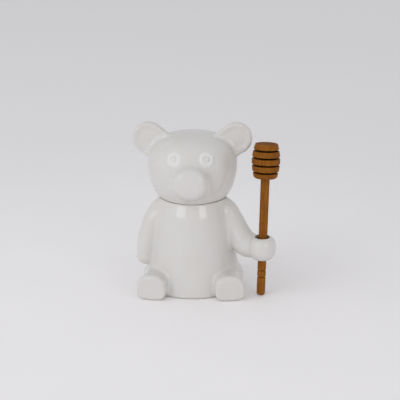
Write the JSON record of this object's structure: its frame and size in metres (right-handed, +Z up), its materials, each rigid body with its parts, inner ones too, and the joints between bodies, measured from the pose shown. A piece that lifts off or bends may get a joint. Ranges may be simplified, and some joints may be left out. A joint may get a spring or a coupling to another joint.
{
  "type": "honey pot with dipper",
  "caption": "Seated bear honey pot in glazed white ceramic: the head lifts off as the lid, and a wooden honey dipper stands in the ring-shaped paw.",
  "frame": {"origin": "centre of the pot's flat underside, on the surface it stands on", "axes": "+Z up; the bear faces -Y; +X is the bear's left, the side of the paw that holds the dipper"},
  "size_m": [0.1147, 0.0836, 0.1329],
  "materials": {
    "glaze": "smooth glossy warm white glaze",
    "dipper_wood": "turned mid-brown wood, satin oiled"
  },
  "bodies": {
    "pot": {"pot_body": "glaze", "resting_arm": "glaze", "holding_arm": "glaze", "paw_ring": "glaze", "left_foot": "glaze", "right_foot": "glaze"},
    "lid": {"head_shell": "glaze", "left_ear": "glaze", "right_ear": "glaze"},
    "dipper": {"dipper_head": "dipper_wood", "dipper_handle": "dipper_wood"}
  },
  "joints": [
    {"name": "lid_lift", "type": "slide", "parent": "pot", "child": "lid", "axis": [0, 0, 1], "range_m": [0, 0.07]},
    {"name": "dipper_lift", "type": "slide", "parent": "pot", "child": "dipper", "axis": [0.0266, 0.0859, 0.996], "range_m": [0, 0.055]}
  ]
}
